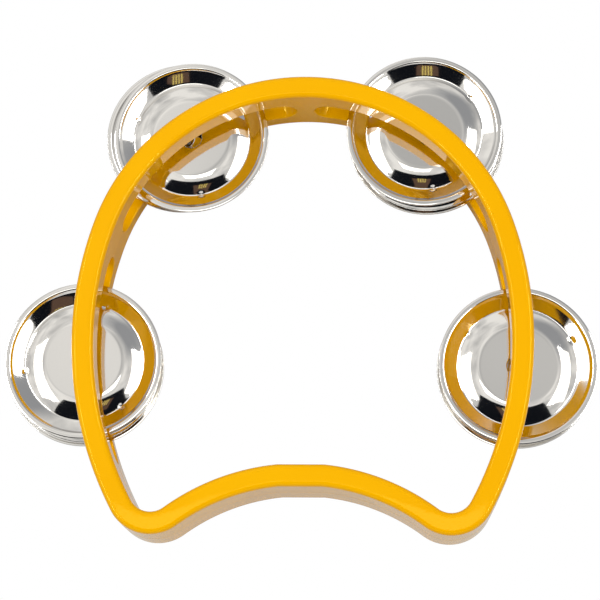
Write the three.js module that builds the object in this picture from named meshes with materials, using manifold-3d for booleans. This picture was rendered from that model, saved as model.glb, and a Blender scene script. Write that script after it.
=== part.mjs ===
// A small cutaway (half-moon) hand tambourine with no drum skin, lying on its back. A one-piece plastic frame
// with a concave grip carries four pairs of loose sheet-steel jingles, each pair on a steel pin in its own slot.
//
// Millimetres, +Z up. The back face rests on z = 0, the grip is towards -Y, the mirror plane is x = 0, and the
// origin is the middle of the bottom face of the part's bounding box, but for how the loose jingles lie.
import * as THREE from 'three';
import { mergeVertices } from 'three/addons/utils/BufferGeometryUtils.js';
import Module from 'manifold-3d';

// ---- frame: a band bent round an outline of tangent arcs, mirror-symmetric about its own x = 0 ----
const DEPTH = 27;                 // front face to back face
const BAND = 6.5;                 // thickness of the band
const EDGE_ROUND = 1.5;           // rounding of the four long edges
const CROWN_RADIUS = 65.2;        // outer arc over the top, its centre at the outline's zero
const SIDE_RADIUS = 108.4;        // flatter outer arcs of the two sides
const SIDE_START = 18.5;          // degrees above +X where the crown arc turns into the side arc
const SIDE_END = -28.3;           // degrees, at the side arc's centre, where the side turns into the corner
const CORNER_RADIUS = 12.9;       // outer arc of the two lower corners
const GRIP_RADIUS = 59.9;         // concave arc of the grip, centred below the part
const GRIP_FLAT = 6.2;            // half width of the flat in the middle of the grip

// ---- jingle slots: through the band from outside to inside, with round ends ----
const SLOT_FLOOR = 7.1;
const SLOT_HEIGHT = 10.5;
const TOP_SLOT_TIPS = [2.8, 68.9];     // degrees off vertical on the crown arc
const SIDE_SLOT_TIPS = [14.9, -20.6];  // degrees above +X on the side arc

// ---- pins: pressed in from the back, blind in the front rim ----
const PIN_RADIUS = 1.0;
const PIN_HEAD_RADIUS = 2.2;
const PIN_HEAD_HEIGHT = 1.0;
const PIN_RECESS = 0.6;           // the head lies this deep in the back face
const PIN_TIP_Z = 23.5;
const PIN_TIP_CHAMFER = 0.5;
const GAP = 0.3;                  // between pieces that touch

// ---- jingles: pressed sheet steel, both of a pair alike and laid crest to crest ----
const JINGLE_RADIUS = 23.5;
const JINGLE_HOLE = 3.2;
const SHEET = 0.5;
const CREST_RADIUS = 17.7;        // the ring where the two jingles of a pair touch
const DISH_RADIUS = 11.7;         // edge of the raised flat middle
const DISH_HEIGHT = 2.0;          // the middle's height over the crest
const FLANGE_RADIUS = 21.9;       // inner edge of the thin flat rim
const FLANGE_HEIGHT = 2.25;       // the rim's height over the crest
const BOWL_RADIUS = 19.6;         // a ring part way up the bowl between the crest and the rim
const BOWL_HEIGHT = 0.85;         // its height over the crest
// How each loose jingle lies on its pin: its centre's offset from the pin in x and y, lower one then upper one.
const LIES = {
  top_left: [[-1.4, 1.35], [1.5, 0]],
  top_right: [[0.4, 0.6], [-0.35, 1.95]],
  left: [[-1.4, -1.45], [-1.6, 0]],
  right: [[-1.05, -1.7], [-0.6, -1.25]],
};

// ---- how finely round shapes are faceted ----
const CROWN_STEPS = 36;
const SIDE_STEPS = 10;
const CORNER_STEPS = 12;
const GRIP_STEPS = 10;
const EDGE_STEPS = 2;
const SLOT_STEPS = 16;
const SLOT_END_SIDES = 20;
const PIN_SIDES = 16;
const JINGLE_SIDES = 40;

const deg = THREE.MathUtils.degToRad;
const polar = (centre, radius, angle) => centre.clone()
  .add(new THREE.Vector2(Math.cos(deg(angle)), Math.sin(deg(angle))).multiplyScalar(radius));

// Centres of the outline's arcs on the right-hand side, each placed so that it is tangent to the one before.
const crownCentre = new THREE.Vector2(0, 0);
const sideCentre = polar(crownCentre, CROWN_RADIUS - SIDE_RADIUS, SIDE_START);
const cornerCentre = polar(sideCentre, SIDE_RADIUS - CORNER_RADIUS, SIDE_END);
const gripCentre = new THREE.Vector2(
  0, cornerCentre.y - Math.sqrt((GRIP_RADIUS + CORNER_RADIUS) ** 2 - cornerCentre.x ** 2));
const gripEnd = THREE.MathUtils.radToDeg(Math.atan2(cornerCentre.y - gripCentre.y, cornerCentre.x));

const wasm = await Module();
wasm.setup();

function toSolid(geometry) {
  const bare = geometry.clone();
  bare.deleteAttribute('normal');
  bare.deleteAttribute('uv');
  const merged = mergeVertices(bare, 1e-4);
  return new wasm.Manifold(new wasm.Mesh({
    numProp: 3,
    vertProperties: new Float32Array(merged.attributes.position.array),
    triVerts: new Uint32Array(merged.index.array),
  }));
}

function toGeometry(solid) {
  const mesh = solid.getMesh();
  const geometry = new THREE.BufferGeometry();
  geometry.setAttribute('position', new THREE.BufferAttribute(mesh.vertProperties, 3));
  geometry.setIndex(new THREE.BufferAttribute(mesh.triVerts, 1));
  geometry.computeVertexNormals();
  return geometry;
}

// Points along an arc, from one angle to another in degrees, without the last one.
function arcPoints(centre, radius, from, to, steps) {
  return Array.from({ length: steps }, (_, i) => polar(centre, radius, from + (to - from) * i / steps));
}

// The closed outline, counter-clockwise, moved inwards by `inset` from the outer face of the band.
function outline(inset) {
  const flat = new THREE.Vector2(GRIP_FLAT, 0);
  flat.y = gripCentre.y + Math.sqrt(GRIP_RADIUS ** 2 - GRIP_FLAT ** 2);
  const flatAngle = THREE.MathUtils.radToDeg(Math.atan2(flat.y - gripCentre.y, flat.x));
  const right = [
    ...arcPoints(gripCentre, GRIP_RADIUS + inset, flatAngle, gripEnd, GRIP_STEPS),
    ...arcPoints(cornerCentre, CORNER_RADIUS - inset, gripEnd - 180, SIDE_END, CORNER_STEPS),
    ...arcPoints(sideCentre, SIDE_RADIUS - inset, SIDE_END, SIDE_START, SIDE_STEPS),
    ...arcPoints(crownCentre, CROWN_RADIUS - inset, SIDE_START, 90, CROWN_STEPS / 2),
  ];
  const crownTop = polar(crownCentre, CROWN_RADIUS - inset, 90);
  const left = right.map((p) => new THREE.Vector2(-p.x, p.y)).reverse();
  return [...right, crownTop, ...left];
}

// The band with rounded long edges, before its slots and holes are cut.
function bandBlank() {
  const shape = new THREE.Shape(outline(EDGE_ROUND));
  shape.holes.push(new THREE.Path(outline(BAND - EDGE_ROUND).reverse()));
  const geometry = new THREE.ExtrudeGeometry(shape, {
    depth: DEPTH - 2 * EDGE_ROUND,
    bevelEnabled: true,
    bevelThickness: EDGE_ROUND,
    bevelSize: EDGE_ROUND,
    bevelSegments: EDGE_STEPS,
  });
  geometry.translate(0, 0, EDGE_ROUND);
  return toSolid(geometry);
}

// A slot cutter: a curved bar along the band from tip to tip, closed by a round bar across the band at each end.
function slotCutter(centre, radius, tips) {
  const reach = BAND * 1.5;
  const middle = radius - BAND / 2;
  const endRadius = SLOT_HEIGHT / 2;
  const middleZ = SLOT_FLOOR + endRadius;
  const tipAngle = THREE.MathUtils.radToDeg(endRadius / middle);
  const [low, high] = [Math.min(...tips) + tipAngle, Math.max(...tips) - tipAngle];
  const shape = new THREE.Shape([
    ...arcPoints(centre, middle + reach, low, high, SLOT_STEPS),
    polar(centre, middle + reach, high),
    ...arcPoints(centre, middle - reach, high, low, SLOT_STEPS),
    polar(centre, middle - reach, low),
  ]);
  const bar = new THREE.ExtrudeGeometry(shape, { depth: SLOT_HEIGHT, bevelEnabled: false });
  bar.translate(0, 0, SLOT_FLOOR);
  return [low, high].reduce((cutter, angle) => {
    const end = new THREE.CylinderGeometry(endRadius, endRadius, 2 * reach, SLOT_END_SIDES);
    const place = polar(centre, middle, angle);
    end.rotateZ(deg(angle - 90));
    end.translate(place.x, place.y, middleZ);
    return cutter.add(toSolid(end));
  }, toSolid(bar));
}

// Each pair's slot and pin. A slot on the left is the mirror image of the one on the right.
const mirrored = (slot) => ({
  centre: new THREE.Vector2(-slot.centre.x, slot.centre.y),
  radius: slot.radius,
  tips: slot.tips.map((angle) => 180 - angle),
});
const topSlot = { centre: crownCentre, radius: CROWN_RADIUS, tips: TOP_SLOT_TIPS.map((angle) => 90 - angle) };
const sideSlot = { centre: sideCentre, radius: SIDE_RADIUS, tips: SIDE_SLOT_TIPS };
const SLOTS = {
  top_left: mirrored(topSlot),
  top_right: topSlot,
  left: mirrored(sideSlot),
  right: sideSlot,
};
const pinPlace = ({ centre, radius, tips }) => polar(centre, radius - BAND / 2, (tips[0] + tips[1]) / 2);

// A pin's hole in the frame: through the back rim with a seat for the head, and blind in the front rim.
function pinHole(place) {
  const headSeat = PIN_RECESS + PIN_HEAD_HEIGHT + GAP;
  const shank = new THREE.CylinderGeometry(PIN_RADIUS + GAP, PIN_RADIUS + GAP, PIN_TIP_Z + GAP + 1, PIN_SIDES);
  shank.rotateX(Math.PI / 2);
  shank.translate(place.x, place.y, (PIN_TIP_Z + GAP - 1) / 2);
  const seat = new THREE.CylinderGeometry(PIN_HEAD_RADIUS + GAP, PIN_HEAD_RADIUS + GAP, headSeat + 1, PIN_SIDES);
  seat.rotateX(Math.PI / 2);
  seat.translate(place.x, place.y, (headSeat - 1) / 2);
  return toSolid(shank).add(toSolid(seat));
}

function frameGeometry() {
  let solid = bandBlank();
  for (const slot of Object.values(SLOTS)) {
    solid = solid.subtract(slotCutter(slot.centre, slot.radius, slot.tips));
    solid = solid.subtract(pinHole(pinPlace(slot)));
  }
  return toGeometry(solid);
}

// A nail-like pin: a flat head in the back rim and a plain shank up into the front rim.
function pinGeometry() {
  const headTop = PIN_RECESS + PIN_HEAD_HEIGHT;
  const profile = [
    [0, PIN_RECESS], [PIN_HEAD_RADIUS, PIN_RECESS], [PIN_HEAD_RADIUS, headTop],
    [PIN_RADIUS, headTop], [PIN_RADIUS, PIN_TIP_Z - PIN_TIP_CHAMFER], [PIN_RADIUS - PIN_TIP_CHAMFER, PIN_TIP_Z],
    [0, PIN_TIP_Z],
  ].map(([r, z]) => new THREE.Vector2(r, z));
  return lathe(profile, PIN_SIDES);
}

// A turned solid about +Z from a profile of radius and height.
function lathe(profile, sides) {
  const geometry = new THREE.LatheGeometry(profile, sides);
  geometry.rotateX(Math.PI / 2);
  return toGeometry(toSolid(geometry));
}

// Heights of a jingle's upper face over the bottom of its crest, from the hole out to the rim.
const PRESSING = [
  [JINGLE_HOLE, DISH_HEIGHT],
  [DISH_RADIUS - 0.5, DISH_HEIGHT],
  [(DISH_RADIUS + CREST_RADIUS) / 2, DISH_HEIGHT * 0.6],
  [CREST_RADIUS, 0],
  [BOWL_RADIUS, BOWL_HEIGHT],
  [FLANGE_RADIUS, FLANGE_HEIGHT],
  [JINGLE_RADIUS, FLANGE_HEIGHT],
];
const JINGLE_HEIGHT = FLANGE_HEIGHT + SHEET;

// The upper jingle of a pair has its crest down; the lower one is the same pressing turned over.
function jingleGeometry(turnedOver) {
  const top = PRESSING.map(([r, h]) => [r, h + SHEET]);
  const closed = [...PRESSING, ...top.reverse(), PRESSING[0]];
  const profile = closed.map(([r, h]) => new THREE.Vector2(r, turnedOver ? JINGLE_HEIGHT - h : h));
  return lathe(turnedOver ? profile.reverse() : profile, JINGLE_SIDES);
}

const plastic = () => new THREE.MeshStandardMaterial({ color: 0xf9b900, roughness: 0.22, metalness: 0 });
const steel = () => new THREE.MeshStandardMaterial({ color: 0x9c9a94, roughness: 0.35, metalness: 1 });
const nickel = () => new THREE.MeshStandardMaterial({ color: 0xd9d7cf, roughness: 0.12, metalness: 1 });

function named(name, geometry, material) {
  const mesh = new THREE.Mesh(geometry, material);
  mesh.name = name;
  return mesh;
}

const group = new THREE.Group();
group.add(named('frame', frameGeometry(), plastic()));

const lowerZ = SLOT_FLOOR + GAP;
const upperZ = lowerZ + JINGLE_HEIGHT + GAP;
for (const [side, slot] of Object.entries(SLOTS)) {
  const place = pinPlace(slot);
  const pin = named(`pin_${side}`, pinGeometry(), steel());
  pin.position.set(place.x, place.y, 0);
  group.add(pin);
  const [lower, upper] = LIES[side];
  const bottomJingle = named(`jingle_${side}_lower`, jingleGeometry(true), nickel());
  bottomJingle.position.set(place.x + lower[0], place.y + lower[1], lowerZ);
  const topJingle = named(`jingle_${side}_upper`, jingleGeometry(false), nickel());
  topJingle.position.set(place.x + upper[0], place.y + upper[1], upperZ);
  group.add(bottomJingle, topJingle);
}

// The origin is midway between the far edge of the top jingles, centred on their pins, and the lowest corner.
const topEdge = pinPlace(topSlot).y + JINGLE_RADIUS;
const bottomEdge = cornerCentre.y - CORNER_RADIUS;
group.position.y = -(topEdge + bottomEdge) / 2;

export default group;
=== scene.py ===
import math

import bmesh
import bpy
from mathutils import Matrix, Vector


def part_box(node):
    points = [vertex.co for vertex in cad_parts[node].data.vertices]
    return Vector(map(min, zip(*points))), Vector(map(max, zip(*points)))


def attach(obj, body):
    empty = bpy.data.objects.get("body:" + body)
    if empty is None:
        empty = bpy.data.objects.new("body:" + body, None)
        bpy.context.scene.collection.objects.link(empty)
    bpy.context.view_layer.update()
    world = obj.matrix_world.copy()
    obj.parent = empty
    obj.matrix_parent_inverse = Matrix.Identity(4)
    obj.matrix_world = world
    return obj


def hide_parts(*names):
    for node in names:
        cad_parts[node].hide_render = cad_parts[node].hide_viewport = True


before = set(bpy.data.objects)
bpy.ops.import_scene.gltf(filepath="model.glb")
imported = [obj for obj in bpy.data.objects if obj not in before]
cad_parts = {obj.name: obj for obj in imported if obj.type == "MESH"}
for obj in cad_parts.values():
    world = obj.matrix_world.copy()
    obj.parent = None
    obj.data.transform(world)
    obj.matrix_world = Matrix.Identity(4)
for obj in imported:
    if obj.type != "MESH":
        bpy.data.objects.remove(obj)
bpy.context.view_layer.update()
MM = 0.001

# ---------------------------------------------------------------------------------------------------------
# Camera. A long lens looks down on the instrument from over the grip, a little from the right, so the inner
# wall of the crown shows and the grip's outer wall shows under it.
# ---------------------------------------------------------------------------------------------------------
CAMERA_PLACE = Vector((25.2, -140.15, 631.4)) * MM
CAMERA_AIM = Vector((-0.6, -4.45, 27.0)) * MM
CAMERA_ROLL = math.radians(0.58)
LENS = 127.6

bpy.ops.object.camera_add(location=CAMERA_PLACE)
camera = bpy.context.object
camera.name = "camera"
camera.data.lens = LENS
camera.data.sensor_width = 36.0
camera.data.clip_start, camera.data.clip_end = 0.05, 50.0
ahead = (CAMERA_AIM - CAMERA_PLACE).normalized()
level = ahead.cross(Vector((0, 1, 0))).normalized()
upward = level.cross(ahead)
right = level * math.cos(CAMERA_ROLL) + upward * math.sin(CAMERA_ROLL)
upward = upward * math.cos(CAMERA_ROLL) - level * math.sin(CAMERA_ROLL)
camera.rotation_euler = Matrix((right, upward, -ahead)).transposed().to_euler()
bpy.context.scene.camera = camera

# ---------------------------------------------------------------------------------------------------------
# Frame moulding. One piece of glossy yellow plastic: a rounded band that follows four tangent arcs on each
# side of the middle, from the crown round the corners to the grip, moulded with four slots for the jingles.
# ---------------------------------------------------------------------------------------------------------
BAND = 6.5 * MM
EDGE_ROUND = 1.5 * MM
CROWN_RADIUS = 65.2 * MM
SIDE_RADIUS = 108.4 * MM
CORNER_RADIUS = 12.9 * MM
GRIP_RADIUS = 59.9 * MM
SIDE_START, SIDE_END = math.radians(18.5), math.radians(-28.3)
GRIP_FLAT = 6.2 * MM
SEAM_HEIGHT = 0.05 * MM
SEAM_WIDTH = 0.35 * MM
SLOT_FLOOR = 7.1 * MM
SLOT_HEIGHT = 10.5 * MM
SLOT_ROUND = 0.55 * MM
SLOT_SIDES = 72
SLOT_ROUND_STEPS = 6
SLOT_ROUND_START = 8  # degrees
SLOT_BEND_STEP = 1.2 * MM
CORE_BEYOND = 3 * MM
TOP_SLOT = (math.radians(90 - 2.8), math.radians(90 - 68.9))
SIDE_SLOT = (math.radians(14.9), math.radians(-20.6))
YELLOW = (0.9, 0.45, 0.0, 1)
YELLOW_DEEP = (0.88, 0.42, 0.0, 1)
YELLOW_RUBBED = (0.95, 0.58, 0.08, 1)
YELLOW_GLOSS = (1.0, 0.75, 0.12, 1)


def around(centre, radius, angle):
    """The point at a radius and an angle from a centre, in the plane of the band."""
    return centre + Vector((math.cos(angle), math.sin(angle), 0)) * radius


def deselect():
    """Leave edit mode, with nothing selected."""
    if bpy.context.object and bpy.context.object.mode == "EDIT":
        bpy.ops.object.mode_set(mode="OBJECT")
    bpy.ops.object.select_all(action="DESELECT")


def choose(obj):
    """Make this the active object and the only one selected."""
    deselect()
    obj.select_set(True)
    bpy.context.view_layer.objects.active = obj


def pick(obj, test):
    """Select the vertices, in edit mode, whose place passes the test."""
    mesh = bmesh.from_edit_mesh(obj.data)
    mesh.select_mode = {"VERT"}
    for v in mesh.verts:
        v.select = test(v.co)
    mesh.select_flush_mode()
    bmesh.update_edit_mesh(obj.data)


def modify(obj, kind, **values):
    """Add a modifier with these settings and apply it."""
    choose(obj)
    modifier = obj.modifiers.new(kind.lower(), kind)
    for key, value in values.items():
        setattr(modifier, key, value)
    bpy.ops.object.modifier_apply(modifier=modifier.name)


def settle(obj):
    """Apply the object's place, turn and scale to its mesh, so the object sits at the origin."""
    choose(obj)
    bpy.ops.object.transform_apply(location=True, rotation=True, scale=True)


frame_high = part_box("frame")[1]
depth = frame_high.z
crown_centre = Vector((0, frame_high.y - CROWN_RADIUS, 0))
side_centre = around(crown_centre, CROWN_RADIUS - SIDE_RADIUS, SIDE_START)
corner_centre = around(side_centre, SIDE_RADIUS - CORNER_RADIUS, SIDE_END)
grip_below = math.sqrt((GRIP_RADIUS + CORNER_RADIUS) ** 2 - corner_centre.x ** 2)
grip_centre = Vector((0, corner_centre.y - grip_below, 0))
grip_end = math.atan2(corner_centre.y - grip_centre.y, corner_centre.x)
flat_angle = math.acos(GRIP_FLAT / GRIP_RADIUS)

# The band's section stands across the crown's middle, with its corners rounded and a fine mould seam.
section_middle = (0, frame_high.y - BAND / 2, depth / 2)
deselect()
bpy.ops.mesh.primitive_plane_add(size=1, rotation=(0, math.pi / 2, 0), location=section_middle)
moulding = bpy.context.object
moulding.name = "frame_moulding"
moulding.scale = (depth, BAND, 1)
settle(moulding)
bpy.ops.object.mode_set(mode="EDIT")
bpy.ops.mesh.select_all(action="SELECT")
bpy.ops.mesh.bevel(affect="VERTICES", offset=EDGE_ROUND, segments=10, profile=0.5)
bpy.ops.mesh.select_all(action="SELECT")
bpy.ops.mesh.delete(type="ONLY_FACE")
for height in (depth / 2 - SEAM_WIDTH / 2, depth / 2, depth / 2 + SEAM_WIDTH / 2):
    bpy.ops.mesh.select_all(action="SELECT")
    bpy.ops.mesh.bisect(plane_co=(0, 0, height), plane_no=(0, 0, 1))
pick(moulding, lambda co: abs(co.z - depth / 2) < SEAM_WIDTH / 8)
bpy.ops.transform.resize(value=(1, 1 + 2 * SEAM_HEIGHT / BAND, 1), center_override=section_middle)

# The section is swept down the right-hand side, arc after arc: centre, angle and number of steps. Then it is
# drawn along the flat of the grip to the middle, with one ring close to the arc.
sweeps = (
    (crown_centre, SIDE_START - math.pi / 2, 76),
    (side_centre, SIDE_END - SIDE_START, 66),
    (corner_centre, grip_end - math.pi - SIDE_END, 34),
    (grip_centre, flat_angle - grip_end, 28),
)
bpy.ops.mesh.select_all(action="SELECT")
for centre, angle, steps in sweeps:
    bpy.ops.mesh.spin(steps=steps, angle=-angle, center=centre, axis=(0, 0, 1), dupli=False)
for squeeze in (0.9, 0.0):
    bpy.ops.mesh.extrude_region_move(TRANSFORM_OT_translate={"value": (0, 0, 0)})
    bpy.ops.transform.resize(value=(squeeze, 1, 1), center_override=(0, 0, 0))
bpy.ops.object.mode_set(mode="OBJECT")
modify(moulding, "MIRROR", use_axis=(True, False, False), merge_threshold=0.01 * MM)
bpy.ops.object.mode_set(mode="EDIT")
bpy.ops.mesh.select_all(action="SELECT")
bpy.ops.mesh.remove_doubles(threshold=0.005 * MM)
bpy.ops.mesh.normals_make_consistent(inside=False)
bpy.ops.object.mode_set(mode="OBJECT")


def slot_core(centre, radius, ends):
    """The core that leaves one slot: a bar with round ends and flared mouths, bent to the band."""
    middle = radius - BAND / 2
    half_length = middle * (ends[0] - ends[1]) / 2
    end_radius = SLOT_HEIGHT / 2
    deselect()
    bpy.ops.mesh.primitive_circle_add(vertices=SLOT_SIDES, radius=end_radius + SLOT_ROUND, fill_type="NGON",
                                      rotation=(math.pi / 2, math.pi / SLOT_SIDES, 0),
                                      location=(0, BAND / 2 + CORE_BEYOND, 0))
    core = bpy.context.object
    core.name = "slot_core"
    settle(core)
    bpy.ops.object.mode_set(mode="EDIT")
    for side in (1, -1):
        pick(core, lambda co: co.x * side > 0)
        bpy.ops.transform.translate(value=(side * (half_length - end_radius), 0, 0))
    bpy.ops.mesh.select_all(action="SELECT")
    bpy.ops.mesh.normals_make_consistent(inside=False)
    mesh = bmesh.from_edit_mesh(core.data)
    if mesh.faces[:][0].normal.y > 0:
        bpy.ops.mesh.flip_normals()
    bpy.ops.mesh.extrude_region_move(TRANSFORM_OT_translate={"value": (0, -CORE_BEYOND, 0)})
    for i in range(SLOT_ROUND_STEPS):
        now, then = (math.radians(SLOT_ROUND_START + (90 - SLOT_ROUND_START) * k / SLOT_ROUND_STEPS)
                     for k in (i, i + 1))
        bpy.ops.mesh.inset(thickness=SLOT_ROUND * (math.sin(then) - math.sin(now)),
                           depth=SLOT_ROUND * (math.cos(now) - math.cos(then)))
    bpy.ops.mesh.extrude_region_move(TRANSFORM_OT_translate={"value": (0, SLOT_ROUND - BAND / 2, 0)})
    bpy.ops.mesh.delete(type="FACE")
    steps = int(half_length / SLOT_BEND_STEP)
    for i in range(-steps, steps + 1):
        bpy.ops.mesh.select_all(action="SELECT")
        bpy.ops.mesh.bisect(plane_co=(i * SLOT_BEND_STEP, 0, 0), plane_no=(1, 0, 0))
    bpy.ops.object.mode_set(mode="OBJECT")
    modify(core, "MIRROR", use_axis=(False, True, False), merge_threshold=0.2 * MM)

    bend = core.modifiers.new("bend", "SIMPLE_DEFORM")
    bend.deform_method = "BEND"
    bend.deform_axis = "Z"
    bend.angle = -core.dimensions.x / middle
    bpy.ops.object.modifier_apply(modifier=bend.name)
    turn = sum(ends) / 2
    core.rotation_euler = (0, 0, turn - math.pi / 2)
    core.location = around(centre, middle, turn) + Vector((0, 0, SLOT_FLOOR + SLOT_HEIGHT / 2))
    settle(core)
    return core


def mirrored(obj):
    """A copy of the object on the other side of the middle plane, with its own mesh."""
    choose(obj)
    bpy.ops.object.duplicate()
    copy = bpy.context.object
    copy.scale = (-1, 1, 1)
    settle(copy)
    bpy.ops.object.mode_set(mode="EDIT")
    bpy.ops.mesh.select_all(action="SELECT")
    bpy.ops.mesh.normals_make_consistent(inside=False)
    bpy.ops.object.mode_set(mode="OBJECT")
    return copy


def carve(obj, tools):
    """Join the tools into one, cut it out of the object and take it away."""
    choose(tools[0])
    for tool in tools:
        tool.select_set(True)
    bpy.ops.object.join()
    modify(obj, "BOOLEAN", object=tools[0], operation="DIFFERENCE", solver="EXACT")
    bpy.data.objects.remove(tools[0])


cores = [slot_core(crown_centre, CROWN_RADIUS, TOP_SLOT), slot_core(side_centre, SIDE_RADIUS, SIDE_SLOT)]
cores += [mirrored(core) for core in cores]
carve(moulding, cores)

# Each pin has a blind hole from the back face, with a seat for its head and a broken edge round the seat.
PIN_NODES = ("pin_top_left", "pin_top_right", "pin_left", "pin_right")
PIN_RADIUS = 1.0 * MM
PIN_HEAD_HEIGHT = 1.0 * MM
HOLE_ROOM = 0.06 * MM
SEAT_ROOM = 0.15 * MM
SEAT_CHAMFER = 0.2 * MM


def pin_drill(low, high):
    """A stepped drill for one pin: shank, head seat and countersink."""
    across = (high.x - low.x) / 2 + SEAT_ROOM
    x, y = (low.x + high.x) / 2, (low.y + high.y) / 2
    seat = low.z + PIN_HEAD_HEIGHT
    deselect()
    bpy.ops.mesh.primitive_cylinder_add(vertices=40, radius=across, depth=seat - SEAT_CHAMFER,
                                        location=(x, y, (seat + SEAT_CHAMFER) / 2))
    drill = bpy.context.object
    drill.name = "pin_drill"
    settle(drill)
    bpy.ops.object.mode_set(mode="EDIT")
    pick(drill, lambda co: co.z > seat - SEAT_CHAMFER / 2)
    bpy.ops.mesh.inset(thickness=across - PIN_RADIUS - HOLE_ROOM)
    bpy.ops.mesh.extrude_region_move(TRANSFORM_OT_translate={"value": (0, 0, high.z + HOLE_ROOM - seat)})
    pick(drill, lambda co: co.z < SEAT_CHAMFER * 1.5)
    bpy.ops.mesh.extrude_region_move(TRANSFORM_OT_translate={"value": (0, 0, -2 * SEAT_CHAMFER)})
    wider = 1 + 2 * SEAT_CHAMFER / across
    bpy.ops.transform.resize(value=(wider, wider, 1), center_override=(x, y, 0))
    bpy.ops.object.mode_set(mode="OBJECT")
    return drill


carve(moulding, [pin_drill(*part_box(node)) for node in PIN_NODES])
choose(moulding)
bpy.ops.object.shade_smooth_by_angle(angle=math.radians(32))
modify(moulding, "WEIGHTED_NORMAL", mode="FACE_AREA", keep_sharp=True)


def new_finish(name):
    """A new material, its node tree and its main shader."""
    material = bpy.data.materials.new(name)
    material.use_nodes = True
    return material, material.node_tree, material.node_tree.nodes["Principled BSDF"]


def add(tree, kind, inputs=None, **settings):
    """Add a shader node, set it up and fill its inputs with values or with other nodes' outputs."""
    made = tree.nodes.new("ShaderNode" + kind)
    for key, value in settings.items():
        setattr(made, key, value)
    for key, value in (inputs or {}).items():
        if isinstance(value, bpy.types.NodeSocket):
            tree.links.new(value, made.inputs[key])
        else:
            made.inputs[key].default_value = value
    return made


def stretched(tree, source, scale, turn=(0, 0, 0)):
    """The source's coordinates, turned and scaled by axis."""
    return add(tree, "Mapping", {"Vector": source, "Rotation": turn, "Scale": scale}).outputs["Vector"]


def noise(tree, vector, scale, detail=2.0, roughness=0.5):
    """Cloudy noise between 0 and 1, over these coordinates."""
    return add(tree, "TexNoise", {"Vector": vector, "Scale": scale, "Detail": detail,
                                  "Roughness": roughness}).outputs["Fac"]


def spread(tree, value, low, high, to_low=0.0, to_high=1.0):
    """The value's stretch from low to high, laid over another range and held at its ends."""
    return add(tree, "MapRange", {"Value": value, "From Min": low, "From Max": high,
                                  "To Min": to_low, "To Max": to_high}).outputs["Result"]


def blend_colour(tree, share, one, other):
    """A mix of two colours: the first where the share is 0, the other where it is 1."""
    return add(tree, "Mix", {"Factor": share, "A": one, "B": other}, data_type="RGBA").outputs["Result"]


def worked_out(tree, operation, *values):
    """The result of one step of arithmetic on values and other nodes' outputs."""
    return add(tree, "Math", dict(enumerate(values)), operation=operation).outputs["Value"]


def bump(tree, height, strength, distance, under=None, invert=False):
    """The surface's normals with this relief, laid over the relief under it."""
    inputs = {"Height": height, "Strength": strength, "Distance": distance}
    if under is not None:
        inputs["Normal"] = under
    return add(tree, "Bump", inputs, invert=invert).outputs["Normal"]


def scratches(tree, source, turn, along, across, low, high):
    """Fine lines in one direction, broken up along their length; 1 on a line and 0 beside it."""
    lines = noise(tree, stretched(tree, source, (along, across, along), turn), 1.0, 1.0)
    patches = noise(tree, source, 60.0, 1.0)
    return worked_out(tree, "MULTIPLY", spread(tree, lines, low, high), spread(tree, patches, 0.5, 0.62))


def moulded_plastic():
    """Glossy moulded plastic: faint flow marks, orange peel, rubbed edges and fine scratches."""
    material, tree, shader = new_finish("yellow_plastic")
    place = add(tree, "TexCoord").outputs["Object"]
    flow = noise(tree, stretched(tree, place, (1.0, 1.0, 3.0)), 22.0, 3.0)
    colour = blend_colour(tree, spread(tree, flow, 0.35, 0.65), YELLOW_DEEP, YELLOW)
    rub = noise(tree, place, 260.0, 4.0, 0.7)
    edge = add(tree, "NewGeometry").outputs["Pointiness"]
    worn = worked_out(tree, "MULTIPLY", spread(tree, edge, 0.515, 0.56), spread(tree, rub, 0.5, 0.66))
    colour = blend_colour(tree, spread(tree, worn, 0, 1, 0, 0.35), colour, YELLOW_RUBBED)
    tree.links.new(colour, shader.inputs["Base Color"])

    one_way = scratches(tree, place, (0, 0, 0.5), 40, 5200, 0.70, 0.76)
    other_way = scratches(tree, place, (0.4, 0, -0.9), 50, 4300, 0.71, 0.77)
    marks = worked_out(tree, "MAXIMUM", one_way, other_way)
    smears = noise(tree, place, 45.0, 3.0)
    gloss = spread(tree, smears, 0.3, 0.7, 0.02, 0.05)
    dulled = worked_out(tree, "MULTIPLY_ADD", marks, 0.12, gloss)
    dulled = worked_out(tree, "MULTIPLY_ADD", worn, 0.15, dulled)
    tree.links.new(dulled, shader.inputs["Roughness"])

    wave = bump(tree, noise(tree, place, 70.0, 1.0), 0.35, 0.05 * MM)
    peel = bump(tree, noise(tree, place, 900.0, 2.0), 0.3, 0.008 * MM, wave)
    tree.links.new(bump(tree, marks, 0.3, 0.006 * MM, peel, invert=True), shader.inputs["Normal"])
    shader.inputs["IOR"].default_value = 1.5
    shader.inputs["Specular Tint"].default_value = YELLOW_GLOSS
    return material


moulding.data.materials.clear()
moulding.data.materials.append(moulded_plastic())
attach(moulding, "frame")
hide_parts("frame")

# ---------------------------------------------------------------------------------------------------------
# Pins. Four pieces of drawn steel wire with a flat head, pressed in from the back face. Each runs across its
# slot from rim to rim and carries one pair of jingles.
# ---------------------------------------------------------------------------------------------------------
PIN_TIP_CHAMFER = 0.5 * MM
PIN_EDGE_ROUND = 0.12 * MM
PIN_HEAD_CROWN = 0.15 * MM
STEEL = (0.56, 0.55, 0.52, 1)
STEEL_GRIMY = (0.336, 0.33, 0.312, 1)


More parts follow.
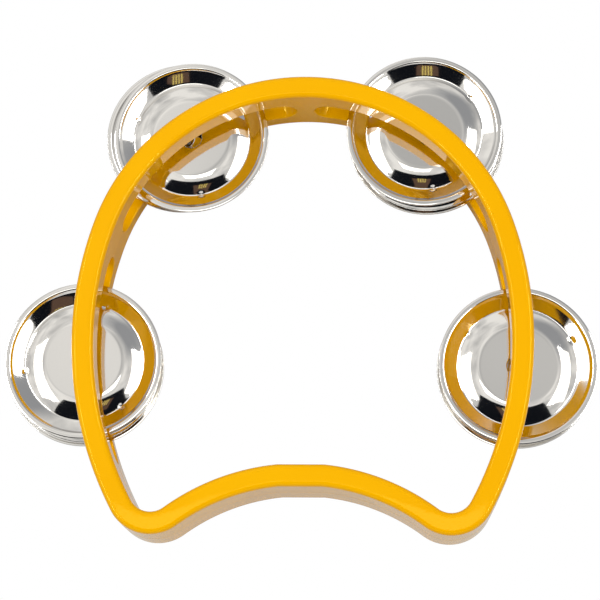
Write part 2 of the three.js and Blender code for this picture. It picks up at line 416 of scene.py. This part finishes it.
def drawn_steel():
    """Bright drawn wire: fine lines along the pin, with a little grime in the duller stretches."""
    material, tree, shader = new_finish("pin_steel")
    place = add(tree, "TexCoord").outputs["Object"]
    lines = noise(tree, stretched(tree, place, (9000, 9000, 120)), 1.0, 2.0)
    grime = noise(tree, place, 420.0, 4.0, 0.65)
    tint = blend_colour(tree, spread(tree, grime, 0.45, 0.75, 0, 0.6), STEEL, STEEL_GRIMY)
    tree.links.new(tint, shader.inputs["Base Color"])
    tree.links.new(spread(tree, grime, 0.3, 0.75, 0.2, 0.42), shader.inputs["Roughness"])
    tree.links.new(bump(tree, lines, 0.5, 0.01 * MM), shader.inputs["Normal"])
    shader.inputs["Metallic"].default_value = 1.0
    return material


def headed_pin(node, material):
    """A pin from its head to its chamfered tip, in the place of the CAD pin."""
    low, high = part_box(node)
    x, y = (low.x + high.x) / 2, (low.y + high.y) / 2
    head_radius = (high.x - low.x) / 2
    deselect()
    bpy.ops.mesh.primitive_cylinder_add(vertices=48, radius=head_radius, depth=PIN_HEAD_HEIGHT,
                                        location=(x, y, low.z + PIN_HEAD_HEIGHT / 2))
    pin = bpy.context.object
    pin.name = node + "_wire"
    settle(pin)
    bpy.ops.object.mode_set(mode="EDIT")
    pick(pin, lambda co: co.z > low.z + PIN_HEAD_HEIGHT / 2)
    bpy.ops.mesh.inset(thickness=head_radius - PIN_RADIUS)
    shank = high.z - low.z - PIN_HEAD_HEIGHT - PIN_TIP_CHAMFER
    bpy.ops.mesh.extrude_region_move(TRANSFORM_OT_translate={"value": (0, 0, shank)})
    bpy.ops.mesh.extrude_region_move(TRANSFORM_OT_translate={"value": (0, 0, PIN_TIP_CHAMFER)})
    narrower = 1 - PIN_TIP_CHAMFER / PIN_RADIUS
    bpy.ops.transform.resize(value=(narrower, narrower, 1), center_override=(x, y, 0))
    pick(pin, lambda co: co.z < low.z + PIN_HEAD_HEIGHT / 2)
    bpy.ops.mesh.inset(thickness=0.3 * head_radius)
    bpy.ops.mesh.inset(thickness=0.4 * head_radius)
    bpy.ops.transform.translate(value=(0, 0, -PIN_HEAD_CROWN))
    bpy.ops.object.mode_set(mode="OBJECT")
    modify(pin, "BEVEL", width=PIN_EDGE_ROUND, segments=3, limit_method="ANGLE",
           angle_limit=math.radians(30))
    choose(pin)
    bpy.ops.object.shade_smooth_by_angle(angle=math.radians(35))
    pin.data.materials.append(material)
    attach(pin, "frame")
    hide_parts(node)


steel = drawn_steel()
for node in PIN_NODES:
    headed_pin(node, steel)

# ---------------------------------------------------------------------------------------------------------
# Jingles. Eight alike, pressed from sheet steel and nickel plated: a flat middle with a hole, a slope down
# to a narrow crest with three dimples, and a bowl that rises to a slightly domed rim. A pair hangs loose on
# its pin, crest to crest.
# ---------------------------------------------------------------------------------------------------------
# The profile, in millimetres. Each row of slopes has a radius and the sheet's slope there, and between two
# rows the slope changes evenly. The profile is drawn in rings about JINGLE_RING wide.
JINGLE_HOLE = 3.2
JINGLE_RADIUS = 23.5
JINGLE_RING = 0.42
JINGLE_SLOPES = ((JINGLE_HOLE, 0), (11.3, 0), (12.1, -0.15), (17.35, -0.577), (17.6, -0.3), (17.8, 0.3),
                 (18.05, 0.445), (21.3, 0.53), (21.75, 1.2), (22.0, 0.16), (22.3, 0.04), (22.9, -0.02),
                 (JINGLE_RADIUS, -0.16))
JINGLE_SIDES = 256
SHEET = 0.5 * MM
CREST_RADIUS = 17.7 * MM
DIMPLES = 3
DIMPLE_RADIUS = 1.3 * MM
DIMPLE_DEPTH = 0.25 * MM
RIM_ROUND = 0.12 * MM
# How far each jingle has turned on its pin, in degrees, the lower one of the pair and then the upper one.
JINGLE_TURNS = {"top_left": (95, 40), "top_right": (12, 38), "left": (20, 70), "right": (75, 27)}
NICKEL = (0.83, 0.81, 0.775, 1)
NICKEL_WARM = (0.78, 0.75, 0.70, 1)


def nickel_plate():
    """Bright nickel over pressed steel: faint polishing rings, hair scratches and dull smears."""
    material, tree, shader = new_finish("nickel_plate")
    from_above = add(tree, "TexCoord").outputs["UV"]
    centred = add(tree, "VectorMath", {0: from_above, 1: (0.5, 0.5, 0)}, operation="SUBTRACT")
    local = centred.outputs["Vector"]
    radius = add(tree, "VectorMath", {0: local}, operation="LENGTH").outputs["Value"]
    rings = add(tree, "TexNoise", {"W": radius, "Scale": 160.0, "Detail": 3.0}, noise_dimensions="1D")
    smears = noise(tree, local, 9.0, 4.0, 0.6)
    tint = blend_colour(tree, spread(tree, smears, 0.4, 0.7, 0, 0.5), NICKEL, NICKEL_WARM)
    tree.links.new(tint, shader.inputs["Base Color"])

    hairs = scratches(tree, local, (0, 0, 0.7), 2.0, 260.0, 0.68, 0.74)
    more = scratches(tree, local, (0, 0, -0.6), 2.5, 220.0, 0.69, 0.75)
    marks = worked_out(tree, "MAXIMUM", hairs, more)
    gloss = spread(tree, smears, 0.35, 0.75, 0.05, 0.1)
    tree.links.new(worked_out(tree, "MULTIPLY_ADD", marks, 0.12, gloss), shader.inputs["Roughness"])

    pressed = bump(tree, noise(tree, local, 7.0, 1.0), 0.3, 0.06 * MM)
    spun = bump(tree, rings.outputs["Fac"], 0.15, 0.004 * MM, pressed)
    tree.links.new(bump(tree, marks, 0.25, 0.004 * MM, spun, invert=True), shader.inputs["Normal"])
    shader.inputs["Metallic"].default_value = 1.0
    return material


# One pressing is drawn ring by ring from its hole to its rim, round the origin, its crest lowest.
deselect()
bpy.ops.mesh.primitive_circle_add(vertices=JINGLE_SIDES, radius=JINGLE_HOLE * MM, fill_type="NOTHING")
pressing = bpy.context.object
pressing.name = "pressing"
bpy.ops.object.mode_set(mode="EDIT")
bpy.ops.mesh.select_all(action="SELECT")
for (start, slope), (end, next_slope) in zip(JINGLE_SLOPES, JINGLE_SLOPES[1:]):
    rings = max(1, round((end - start) / JINGLE_RING))
    width = (end - start) / rings
    for i in range(rings):
        inner, outer = start + i * width, start + (i + 1) * width
        mean = slope + (next_slope - slope) * (i + 0.5) / rings
        bpy.ops.mesh.extrude_region_move(TRANSFORM_OT_translate={"value": (0, 0, mean * width * MM)})
        bpy.ops.transform.resize(value=(outer / inner, outer / inner, 1), center_override=(0, 0, 0))
bpy.ops.object.mode_set(mode="OBJECT")
crest = min(v.co.z for v in pressing.data.vertices)
pressing.location = (0, 0, SHEET - crest)
settle(pressing)
bpy.ops.object.mode_set(mode="EDIT")
bpy.ops.mesh.select_all(action="SELECT")
bpy.ops.mesh.normals_make_consistent(inside=False)
mesh = bmesh.from_edit_mesh(pressing.data)
if mesh.faces[:][0].normal.z < 0:
    bpy.ops.mesh.flip_normals()
for i in range(DIMPLES):
    middle = around(Vector((0, 0, 0)), CREST_RADIUS, 2 * math.pi * i / DIMPLES)
    nearest = min((v.co for v in mesh.verts), key=lambda co: (co.xy - middle.xy).length).copy()
    pick(pressing, lambda co: (co - nearest).length < 0.01 * MM)
    bpy.ops.transform.translate(value=(0, 0, -DIMPLE_DEPTH), use_proportional_edit=True,
                                proportional_edit_falloff="SMOOTH", proportional_size=DIMPLE_RADIUS)
bpy.ops.object.mode_set(mode="OBJECT")
modify(pressing, "SOLIDIFY", thickness=SHEET, offset=-1.0, use_even_offset=True)
modify(pressing, "BEVEL", width=RIM_ROUND, segments=2, limit_method="ANGLE", angle_limit=math.radians(50))
flat_map = pressing.data.uv_layers.new(name="from_above")
across = 2 * JINGLE_RADIUS * MM
for corner in pressing.data.loops:
    co = pressing.data.vertices[corner.vertex_index].co
    flat_map.data[corner.index].uv = (0.5 + co.x / across, 0.5 + co.y / across)
choose(pressing)
bpy.ops.object.shade_smooth_by_angle(angle=math.radians(50))
pressing.data.materials.append(nickel_plate())

# The upper one of a pair lies as it was pressed, and the lower one is turned over.
for side, turns in JINGLE_TURNS.items():
    for level, turn in zip(("lower", "upper"), turns):
        upper = level == "upper"
        body = f"jingle_{side}_{level}"
        low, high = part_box(body)
        choose(pressing)
        bpy.ops.object.duplicate()
        jingle = bpy.context.object
        jingle.name = body + "_pressing"
        jingle.rotation_euler = (0 if upper else math.pi, 0, math.radians(turn))
        jingle.location = ((low.x + high.x) / 2, (low.y + high.y) / 2, low.z if upper else high.z)
        settle(jingle)
        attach(jingle, body)
        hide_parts(body)
bpy.data.objects.remove(pressing)

# ---------------------------------------------------------------------------------------------------------
# Stage. A white table, a pale room, and the soft lights and dark flags that the bright metal mirrors. Places
# and sizes are in metres. A direction is a side, in degrees from +X, and a lean, in degrees off upright.
# ---------------------------------------------------------------------------------------------------------
bpy.context.scene.view_settings.view_transform = "Standard"

BLACK = (0, 0, 0, 1)
WHITE = (1, 1, 1, 1)
TABLE_SIZE = (8.0, 8.0)
TABLE_DROP = 0.2 * MM
TABLE_GREY = (0.48, 0.47, 0.46, 1)
ROOM_COLOUR = (0.95, 0.94, 0.92, 1)
ROOM_SHADE = (0.5, 0.5, 0.5, 1)
ROOM_DOORWAY = (0.33, 0.34, 0.36, 1)
ROOM_DARK = (0.3, 0.29, 0.28, 1)
ROOM_PATCHES = 2.2
DOORWAY_SIDE = 52
DOORWAY_LEAN = 44
STRIP_LEAN = 36
STRIP_SIZE = (0.75, 0.1)
STRIP_POWER = 2.8
SCREEN_LEAN = 41
SCREEN_DISTANCE = 1.2
SCREEN_SIZE = (0.9, 0.5)
SCREEN_GLOW = (2.0, 1.97, 1.92, 1)
# Painted shade and light on the table: dim strips where the instrument shades it, brighter past the grip.
SHEEN_STRIPS = 10
SHEEN_START = -0.01
SHEEN_DEPTH = 0.06
SHEEN_END = SHEEN_START - SHEEN_DEPTH
SHEEN_SIDE = 0.3
SHEEN_SHADE_AND_LIGHT = (0.4, 0.64)
TABLE_FRONT = -0.5
FLAG_BLACK = (0.004, 0.005, 0.008, 1)
FLAG_BROWN = (0.11, 0.065, 0.045, 1)
FLAG_FLARE = 2.8
TOP_GLOW = (3.0, 3.0, 2.9, 1)
LAMP_BARS = 4
LAMP_PLACE = Vector((-0.01, -0.28, 0.49))
LAMP_PITCH = 0.02
LAMP_SIZE = Vector((0.007, 0.09, 0))
LAMP_GLOW = (1.0, 0.78, 0.2, 1)
# Level cards over the table, each by its lowest and its highest x and y.
TOP_LIGHT = (Vector((-0.187, -0.1, 1.0)), Vector((0.105, 0.056, 1.0)))
BLACK_FLAG = (Vector((-0.34, -0.95, 0.8)), Vector((0.34, -0.2, 0.8)))
BROWN_FLAG = (Vector((-0.06, -0.4, 0.5)), Vector((0.1, -0.2, 0.5)))


def grey(level):
    """A slightly warm grey."""
    return (level, level, 0.97 * level, 1)


def aimed(place):
    """The turn that makes a light or a card at this place face the instrument."""
    return place.to_track_quat("Z", "Y").to_euler()


def direction(side, lean):
    """The unit vector of a direction."""
    side, lean = math.radians(side), math.radians(lean)
    return Vector((math.sin(lean) * math.cos(side), math.sin(lean) * math.sin(side), math.cos(lean)))


def plain_card(name, place, turn, size, colour, glow):
    """A flat stage surface of one colour that gives off this much of its own light."""
    deselect()
    bpy.ops.mesh.primitive_plane_add(size=1, location=place, rotation=turn)
    card = bpy.context.object
    card.name = name
    card.scale = (size[0], size[1], 1)
    finish, _, shader = new_finish(name)
    shader.inputs["Base Color"].default_value = colour
    shader.inputs["Roughness"].default_value = 1.0
    shader.inputs["Specular IOR Level"].default_value = 0.0
    shader.inputs["Emission Color"].default_value = glow
    shader.inputs["Emission Strength"].default_value = 1.0
    card.data.materials.append(finish)
    return card


def soft_light(name, place, size, power):
    """An area light that faces the instrument and that the camera doesn't see."""
    bpy.ops.object.light_add(type="AREA", location=place, rotation=aimed(place))
    light = bpy.context.object
    light.name = name
    light.data.shape = "RECTANGLE"
    light.data.size, light.data.size_y = size
    light.data.energy = power
    light.visible_camera = False


def only_mirrored(card):
    """The metal and the gloss see this card, and nothing else does."""
    card.visible_camera = False
    card.visible_diffuse = False
    card.visible_shadow = False


def level_card(name, low, high, glow):
    """A level card from corner to corner, seen only in the metal and the gloss."""
    card = plain_card(name, (low + high) / 2, (0, 0, 0), high - low, BLACK, glow)
    only_mirrored(card)
    return card


# The table is pure white where the camera looks at it, and a plain grey for light and reflections.
bright_table = plain_card("bright_table", (0, 0, -TABLE_DROP), (0, 0, 0), TABLE_SIZE, BLACK, WHITE)
bright_table.visible_diffuse = False
bright_table.visible_glossy = False
bright_table.visible_shadow = False
grey_table = plain_card("grey_table", (0, 0, -2 * TABLE_DROP), (0, 0, 0), TABLE_SIZE, TABLE_GREY, BLACK)
grey_table.visible_camera = False

# The room is pale with soft grey patches and a darker doorway on one side, and it darkens to the horizon.
room = bpy.data.worlds.new("room")
bpy.context.scene.world = room
room.use_nodes = True
tree = room.node_tree
background = tree.nodes["Background"]
ways = add(tree, "TexCoord").outputs["Generated"]
patches = noise(tree, ways, ROOM_PATCHES, 3.0, 0.6)
walls = blend_colour(tree, spread(tree, patches, 0.38, 0.62), ROOM_SHADE, ROOM_COLOUR)
doorway = direction(DOORWAY_SIDE, DOORWAY_LEAN)
nearness = add(tree, "VectorMath", {0: ways, 1: doorway}, operation="DOT_PRODUCT")
walls = blend_colour(tree, spread(tree, nearness.outputs["Value"], 0.9, 0.98), walls, ROOM_DOORWAY)
height = add(tree, "VectorMath", {0: ways, 1: (0, 0, 1)}, operation="DOT_PRODUCT")
walls = blend_colour(tree, spread(tree, height.outputs["Value"], 0.08, 0.36), ROOM_DARK, walls)
tree.links.new(walls, background.inputs["Color"])
background.inputs["Strength"].default_value = 1.0

# A strip light on each side lights the instrument, and the metal sees a broad screen there and a third panel
# overhead.
for name, side in (("left", 180), ("right", 0)):
    soft_light(f"strip_light_{name}", direction(side, STRIP_LEAN), STRIP_SIZE, STRIP_POWER)
    screen = direction(side, SCREEN_LEAN) * SCREEN_DISTANCE
    only_mirrored(plain_card(f"screen_{name}", screen, aimed(screen), SCREEN_SIZE, BLACK, SCREEN_GLOW))
level_card("top_light", *TOP_LIGHT, TOP_GLOW)

# The table's painted light and shade, strip by strip from the middle of the instrument towards the grip and
# past
# it: the strips glow dim where the instrument shades the table and brighter towards the front.
for i in range(SHEEN_STRIPS):
    share = (i + 0.5) / SHEEN_STRIPS
    inner, outer = (SHEEN_START - SHEEN_DEPTH * k / SHEEN_STRIPS for k in (i, i + 1))
    level_card(f"table_sheen_{i}", Vector((-SHEEN_SIDE, outer, 0)), Vector((SHEEN_SIDE, inner, 0)),
               grey(SHEEN_SHADE_AND_LIGHT[0] + (SHEEN_SHADE_AND_LIGHT[1] - SHEEN_SHADE_AND_LIGHT[0]) * share))
level_card("table_front", Vector((-SHEEN_SIDE, TABLE_FRONT, 0)), Vector((SHEEN_SIDE, SHEEN_END, 0)),
           grey(SHEEN_SHADE_AND_LIGHT[1]))

# A black flag past the grip, wider along the edge away from the instrument, gives the metal its dark patches.
# A brown flag and a few warm lamp bars hang below it.
black_flag = level_card("black_flag", *BLACK_FLAG, FLAG_BLACK)
choose(black_flag)
bpy.ops.object.mode_set(mode="EDIT")
pick(black_flag, lambda co: co.y < 0)
bpy.ops.transform.resize(value=(FLAG_FLARE, 1, 1), center_override=black_flag.location)
bpy.ops.object.mode_set(mode="OBJECT")
level_card("brown_flag", *BROWN_FLAG, FLAG_BROWN)
for i in range(LAMP_BARS):
    low = LAMP_PLACE + Vector((i * LAMP_PITCH, 0, 0))
    level_card(f"lamp_bar_{i}", low, low + LAMP_SIZE, LAMP_GLOW)
